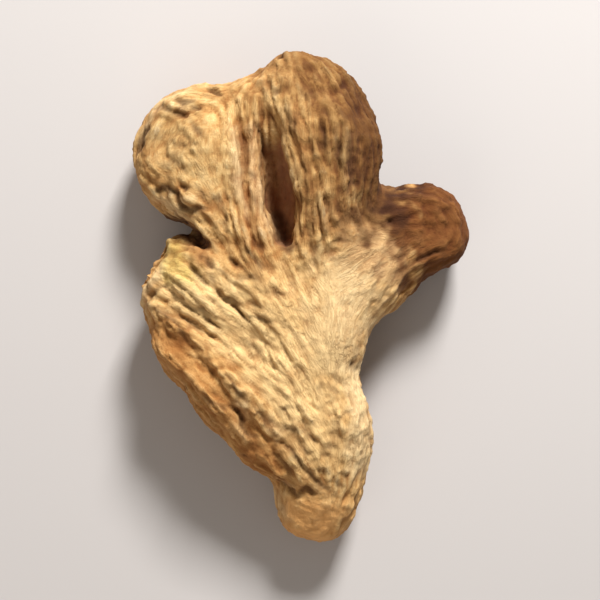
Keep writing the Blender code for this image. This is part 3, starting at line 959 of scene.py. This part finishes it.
ridge = skin.number("ridge")
slow = skin.noise(0.10, detail=2.0)
patches = skin.noise(0.4, detail=4.0)
grit = skin.noise(4.0, roughness=0.7)
fibres = skin.fibres(2.6, stretch=5.0)
uneven_tone = (slow - 0.5) * 0.35 + (patches - 0.5) * 0.35 + (grit - 0.5) * 0.25
height = ridge * 0.48 + (fibres - 0.5) * 0.6 + MIDDLE_TONE + uneven_tone
colour = skin.node("ShaderNodeValToRGB", "Color", {"stops": TONES}, {"Fac": height.clamped()})
print("nodes for the base colour:", len(skin.tree.nodes))

# %% [markdown]
# ## Colours of the places
# Patches of cork stay on the skin and the tip is reddish. Steep sides and the flank are a warm rust
# brown, partly brown cork and partly painted shade. The rubbed palm is cream, the combed and lit
# parts of the leg are golden, partly their own tone and partly painted light, and the lit right
# edge of the leg gets a painted highlight in cream. Each colour is laid over the base, and the
# fibres show through because they share in the factor.

# %% Colour the places
CORK = (0.17, 0.066, 0.022, 1)
REDDISH = (0.80, 0.42, 0.15, 1)
# A warm brown for the sides: partly brown cork, partly painted shade.
SHADED_SIDE_BROWN = (0.39, 0.19, 0.068, 1)
GOLD = (0.86, 0.62, 0.30, 1)

cork = skin.step(patches + (slow - 0.5) * 0.6, 0.54, 0.66)
colour = skin.mix(cork * 0.25, colour, CORK)
colour = skin.lay(colour, "red_tip", 1 - fibres * 0.5, REDDISH)
# Steep sides and the flank: brown cork with painted warm shade.
colour = skin.lay(colour, "steep", 0.95 - fibres * 0.6, SHADED_SIDE_BROWN)
colour = skin.lay(colour, "flank_side", 0.75 - fibres, SHADED_SIDE_BROWN)
colour = skin.lay(colour, "pale_palm", (grit + fibres) * 0.5, CREAM)
# Combed and lit parts of the leg: golden, partly their own tone and partly painted light.
colour = skin.lay(colour, "combed_leg", fibres + 0.3, GOLD)
colour = skin.lay(colour, "lit_leg", fibres * 0.9, GOLD)
# A painted highlight on the lit right edge of the leg.
colour = skin.lay(colour, "leg_edge", 0.6, CREAM)
print("nodes with the places:", len(skin.tree.nodes))

# %% [markdown]
# ## Powder, threads and folds
# Ridges are dusted with pale starch, and crests get cream that is partly rubbed skin and partly a
# painted highlight on rims that catch the light. Thin dark threads run along the grain, and every
# fold of the grown wrinkles gets a dark line, partly dirt and partly painted shade.

# %% Dust the ridges and draw the threads
threads = skin.fibres(1.7, stretch=6.0, lines=True)
powder = skin.step(grit, 0.56, 0.7) * skin.step(ridge, -0.2, 0.6)
colour = skin.mix(powder * 0.35, colour, CREAM)
# Cream on the crests: partly rubbed skin, partly painted highlight.
colour = skin.lay(colour, "crest", fibres * 0.7 + 0.15, CREAM)
colour = skin.mix((1 - threads) * 0.35, colour, FURROW)
# Dark fold lines: partly dirt, partly painted shade.
colour = skin.lay(colour, "fold", 0.6, FURROW)
print("nodes with powder and threads:", len(skin.tree.nodes))

# %% [markdown]
# ## Tints
# Some places are darker or of another hue, with the same pattern on them. Several tints are painted
# shade: the flank is darkened over its brown cork, the inner end of the notch is darkened, and the
# lobe at the top, its right side and the arm get a painted shadow, as if a root lay beside them,
# over their own brown. Mixing a colour in would hide the pattern. Multiplying by a shade keeps it,
# as a stain does on wood.

# %% Tint the places
TINTS = [  # a place, from where to where its edge counts, and the shade
    # Painted shade on the flank, over its brown cork.
    ("flank_side", (0.0, 0.6), (0.87, 0.765, 0.65, 1)),
    ("fan", (0.0, 0.8), (0.80, 0.72, 0.66, 1)),
    ("lobe", None, (0.88, 0.93, 0.98, 1)),
    ("lip", None, (0.70, 0.61, 0.56, 1)),
    # Painted shade at the inner end of the notch.
    ("notch_end", None, (0.64, 0.50, 0.40, 1)),
    ("yellow_corner", None, (0.74, 0.75, 0.52, 1)),
    # Painted shadow over brown skin on the lobe at the top, its right side and the arm.
    ("brown_lobe", None, (0.42, 0.34, 0.25, 1)),
    ("brown_side", (0.0, 0.8), (0.50, 0.41, 0.32, 1)),
    ("arm", (0.05, 0.8), (0.29, 0.175, 0.10, 1)),
]

for name, edge, shade in TINTS:
    mark = skin.number(name)
    if edge:
        mark = skin.step(mark, *edge)
    colour = skin.mix(mark, colour, shade, blend="MULTIPLY")
print("tints:", len(TINTS))

# %% [markdown]
# ## What lies deep
# No light and no rubbing reach the bottom of a furrow, the crevice, the notch or a pit, so they get
# painted shade last: in the crevice and the notch it is shade alone, and in furrows and pits it is
# also the brown of cork and dirt. One slope of the crevice is open to the light and gets a lighter
# painted shade.

# %% Darken what lies deep
# Colours of the painted shade in the crevice and on its open slope.
WALL = (0.25, 0.09, 0.05, 1)
SLOPE = (0.62, 0.33, 0.20, 1)

# Painted shadow in the folds of the lobe at the top.
colour = skin.lay(colour, "fold", skin.number("brown_lobe") * 0.4, DEEP)
# Placed furrows: partly dirt, partly painted shade.
colour = skin.lay(colour, "furrow", 0.7, DEEP)
# Painted shade in the crevice, darker the deeper a point is sunk.
colour = skin.lay(colour, "hollow", 0.9, WALL)
colour = skin.lay(colour, "crevice_slope", skin.number("hollow") * 0.8, SLOPE)
# Painted shade on the walls of the notch.
colour = skin.lay(colour, "notch_wall", skin.number("steep") * 0.8 + 0.15, DEEP)
# Painted shade at the lower end of the crevice.
colour = skin.lay(colour, "crevice_end", 0.8, DEEP)
# Pits: partly dark root scars, partly painted shade.
colour = skin.lay(colour, "pit", 0.75, DEEP)
skin.surface("Base Color", colour)
print("nodes for the whole colour:", len(skin.tree.nodes))

# %% [markdown]
# ## Gloss and the finest relief
# The surface is matt, and rubbed ridges are a little smoother than the furrows. Fibres, threads,
# grains and grit are finer than the mesh, so a bump gives their relief.

# %% Finish the skin
DULLEST = 0.9
RUBBED = 0.08
GLOSS = 0.3
BUMP_HEIGHT = 0.22 * MM

grains = skin.noise(2.2, detail=5.0, roughness=0.65)
relief = fibres * 0.5 + threads * 0.2 + grains * 0.25 + grit * 0.2
bump = {"Height": relief, "Strength": 1.0, "Distance": BUMP_HEIGHT}
skin.surface("Roughness", DULLEST - ridge * RUBBED)
skin.surface("Specular IOR Level", GLOSS)
skin.surface("Normal", skin.node("ShaderNodeBump", "Normal", inputs=bump))
root.data.materials.clear()
root.data.materials.append(skin.material)
print("nodes in the skin's material:", len(skin.tree.nodes))

# %% [markdown]
# ## The table's paint
# The table is plain. Its colour is a cool grey under the warm light, so that the root stands out
# from it.

# %% Paint the table
TABLE_COLOUR = (0.54, 0.53, 0.545, 1)
TABLE_ROUGHNESS = 0.8

plain = Paint("table_paint")
plain.surface("Base Color", TABLE_COLOUR)
plain.surface("Roughness", TABLE_ROUGHNESS)
table.data.materials.append(plain.material)
print("table's material:", table.data.materials[0].name)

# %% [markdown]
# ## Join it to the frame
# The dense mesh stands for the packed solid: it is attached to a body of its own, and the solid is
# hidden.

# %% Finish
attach(root, "root")
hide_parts("dried_ginger_root")
